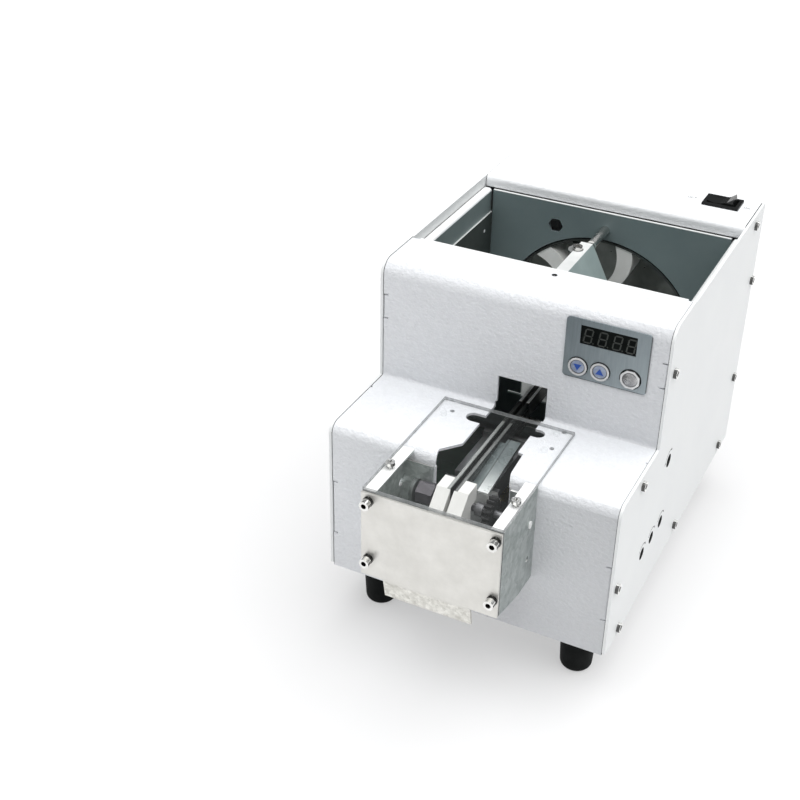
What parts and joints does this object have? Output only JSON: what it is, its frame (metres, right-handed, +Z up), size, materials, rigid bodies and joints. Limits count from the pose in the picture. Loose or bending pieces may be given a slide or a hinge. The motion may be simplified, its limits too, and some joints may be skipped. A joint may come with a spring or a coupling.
{
  "type": "screw counting machine",
  "caption": "Bench screw counter and feeder: open hopper, lifting drum with curved scoops, vibrating rails under a clear cover, metering roller in a front nose, display, keys and rocker switch.",
  "frame": {"origin": "middle of the overall footprint, at the level the rubber feet stand on", "axes": "+X to the right seen from the front, +Y towards the back, +Z up"},
  "size_m": [0.1656, 0.2856, 0.2002],
  "materials": {
    "textured_white": "fine textured white powder coat",
    "smooth_white": "smooth satin white paint",
    "zinc_sheet": "plain zinc plated sheet",
    "black_rubber": "matte black rubber",
    "bright_steel": "bright nickel plated",
    "hopper_grey": "dark slate satin",
    "hopper_liner": "dark satin liner",
    "bulkhead_grey": "satin steel",
    "roof_sheet": "bright satin sheet",
    "drum_steel": "satin steel",
    "scoop_cast": "milled",
    "white_pom": "white acetal",
    "zinc_cast": "milled",
    "motor_can": "plated can",
    "pinion_brass": "machined",
    "rail_steel": "ground",
    "guide_steel": "satin",
    "nose_sheet": "satin sheet",
    "nose_nickel": "satin nickel",
    "clear_acrylic": "clear polished acrylic",
    "black_plastic": "black moulded",
    "hub_dark": "dark moulded",
    "overlay_grey": "grey film",
    "display_black": "dark glossy window",
    "board_green": "solder mask",
    "key_silver": "silver grey moulded",
    "rocker_black": "black moulded",
    "trimmer_blue": "blue moulded",
    "trimmer_white": "white moulded"
  },
  "bodies": {
    "chassis": {"front_cover": "textured_white", "left_side_panel": "smooth_white", "right_side_panel": "smooth_white", "rear_cover": "textured_white", "base_plate": "zinc_sheet", "rubber_feet": "black_rubber", "foot_screws": "bright_steel", "side_screws": "bright_steel", "hopper_left_wall": "hopper_grey", "hopper_right_wall": "hopper_grey", "hopper_front_wall": "hopper_grey", "hopper_floor": "hopper_liner", "bulkhead": "bulkhead_grey", "deflector_shaft": "bright_steel", "rail_deflector": "roof_sheet", "deflector_screw": "bright_steel", "bearing_block": "zinc_cast", "drum_motor": "motor_can", "rail_stand": "zinc_sheet", "nose_left_plate": "nose_sheet", "nose_right_plate": "nose_sheet", "nose_front_plate": "nose_nickel", "nose_screws": "bright_steel", "acrylic_cover": "clear_acrylic", "chute_plate": "nose_sheet", "sensor_pair": "black_plastic", "roller_motor": "motor_can", "panel_overlay": "overlay_grey", "display_module": "display_black", "control_board": "board_green", "switch_body": "black_plastic", "trimmer_unit": "trimmer_blue", "gate_bracket": "zinc_sheet", "main_board": "board_green", "power_jack": "black_plastic"},
    "drum": {"drum_shell": "drum_steel", "drum_scoops": "scoop_cast", "drum_gear": "white_pom", "drum_shaft": "bright_steel"},
    "drum_drive": {"motor_pinion": "pinion_brass"},
    "rails": {"left_rail": "rail_steel", "right_rail": "rail_steel", "rail_bar": "zinc_cast", "guide_bar": "guide_steel", "end_block_left": "white_pom", "end_block_right": "white_pom", "vibration_motor": "motor_can"},
    "shaker": {"vibration_weight": "pinion_brass"},
    "roller": {"roller_shaft": "bright_steel", "roller_hub": "hub_dark", "roller_gear": "hub_dark"},
    "roller_drive": {"roller_pinion": "white_pom"},
    "gate": {"gate_shaft": "bright_steel"},
    "trimmer_1": {"trimmer_knob_1": "trimmer_white"},
    "trimmer_2": {"trimmer_knob_2": "trimmer_white"},
    "trimmer_3": {"trimmer_knob_3": "trimmer_white"},
    "down_key": {"button_down": "key_silver"},
    "up_key": {"button_up": "key_silver"},
    "set_key": {"button_set": "key_silver"},
    "rocker": {"switch_rocker": "rocker_black"}
  },
  "joints": [
    {"name": "drum_turn", "type": "hinge", "parent": "chassis", "child": "drum", "pos_m": [-0.001, 0.11135, 0.108], "axis": [0, 1, 0], "continuous": true},
    {"name": "drum_drive_turn", "type": "hinge", "parent": "chassis", "child": "drum_drive", "pos_m": [0.0572, 0.11135, 0.05912], "axis": [0, 1, 0], "continuous": true},
    {"name": "rail_shake", "type": "slide", "parent": "chassis", "child": "rails", "axis": [0, 1, 0], "range_m": [-0.0005, 0.0005], "stiffness_N_per_m": 4000},
    {"name": "shaker_turn", "type": "hinge", "parent": "rails", "child": "shaker", "pos_m": [0.007, -0.06065, 0.091], "axis": [1, 0, 0], "continuous": true},
    {"name": "roller_turn", "type": "hinge", "parent": "chassis", "child": "roller", "pos_m": [-0.001, -0.10065, 0.1064], "axis": [1, 0, 0], "continuous": true},
    {"name": "roller_drive_turn", "type": "hinge", "parent": "chassis", "child": "roller_drive", "pos_m": [0.0165, -0.10065, 0.0904], "axis": [1, 0, 0], "continuous": true},
    {"name": "gate_turn", "type": "hinge", "parent": "chassis", "child": "gate", "pos_m": [0.04, -0.01135, 0.1046], "axis": [-1, 0, 0], "range_deg": [0, 90]},
    {"name": "trimmer_1_turn", "type": "hinge", "parent": "chassis", "child": "trimmer_1", "pos_m": [0.076, -0.04285, 0.0635], "axis": [1, 0, 0], "range_deg": [-140, 140]},
    {"name": "trimmer_2_turn", "type": "hinge", "parent": "chassis", "child": "trimmer_2", "pos_m": [0.076, -0.02695, 0.0635], "axis": [1, 0, 0], "range_deg": [-140, 140]},
    {"name": "trimmer_3_turn", "type": "hinge", "parent": "chassis", "child": "trimmer_3", "pos_m": [0.076, -0.01085, 0.0635], "axis": [1, 0, 0], "range_deg": [-140, 140]},
    {"name": "down_press", "type": "slide", "parent": "chassis", "child": "down_key", "axis": [0, 1, 0], "range_m": [0, 0.0008], "stiffness_N_per_m": 800},
    {"name": "up_press", "type": "slide", "parent": "chassis", "child": "up_key", "axis": [0, 1, 0], "range_m": [0, 0.0008], "stiffness_N_per_m": 800},
    {"name": "set_press", "type": "slide", "parent": "chassis", "child": "set_key", "axis": [0, 1, 0], "range_m": [0, 0.0008], "stiffness_N_per_m": 800},
    {"name": "rocker_tilt", "type": "hinge", "parent": "chassis", "child": "rocker", "pos_m": [0.0592, 0.12725, 0.1947], "axis": [0, 1, 0], "range_deg": [0, 22]}
  ],
  "couplings": [
    {"joint": "drum_drive_turn", "follows": "drum_turn", "ratio": -3.75},
    {"joint": "roller_drive_turn", "follows": "roller_turn", "ratio": -1}
  ]
}
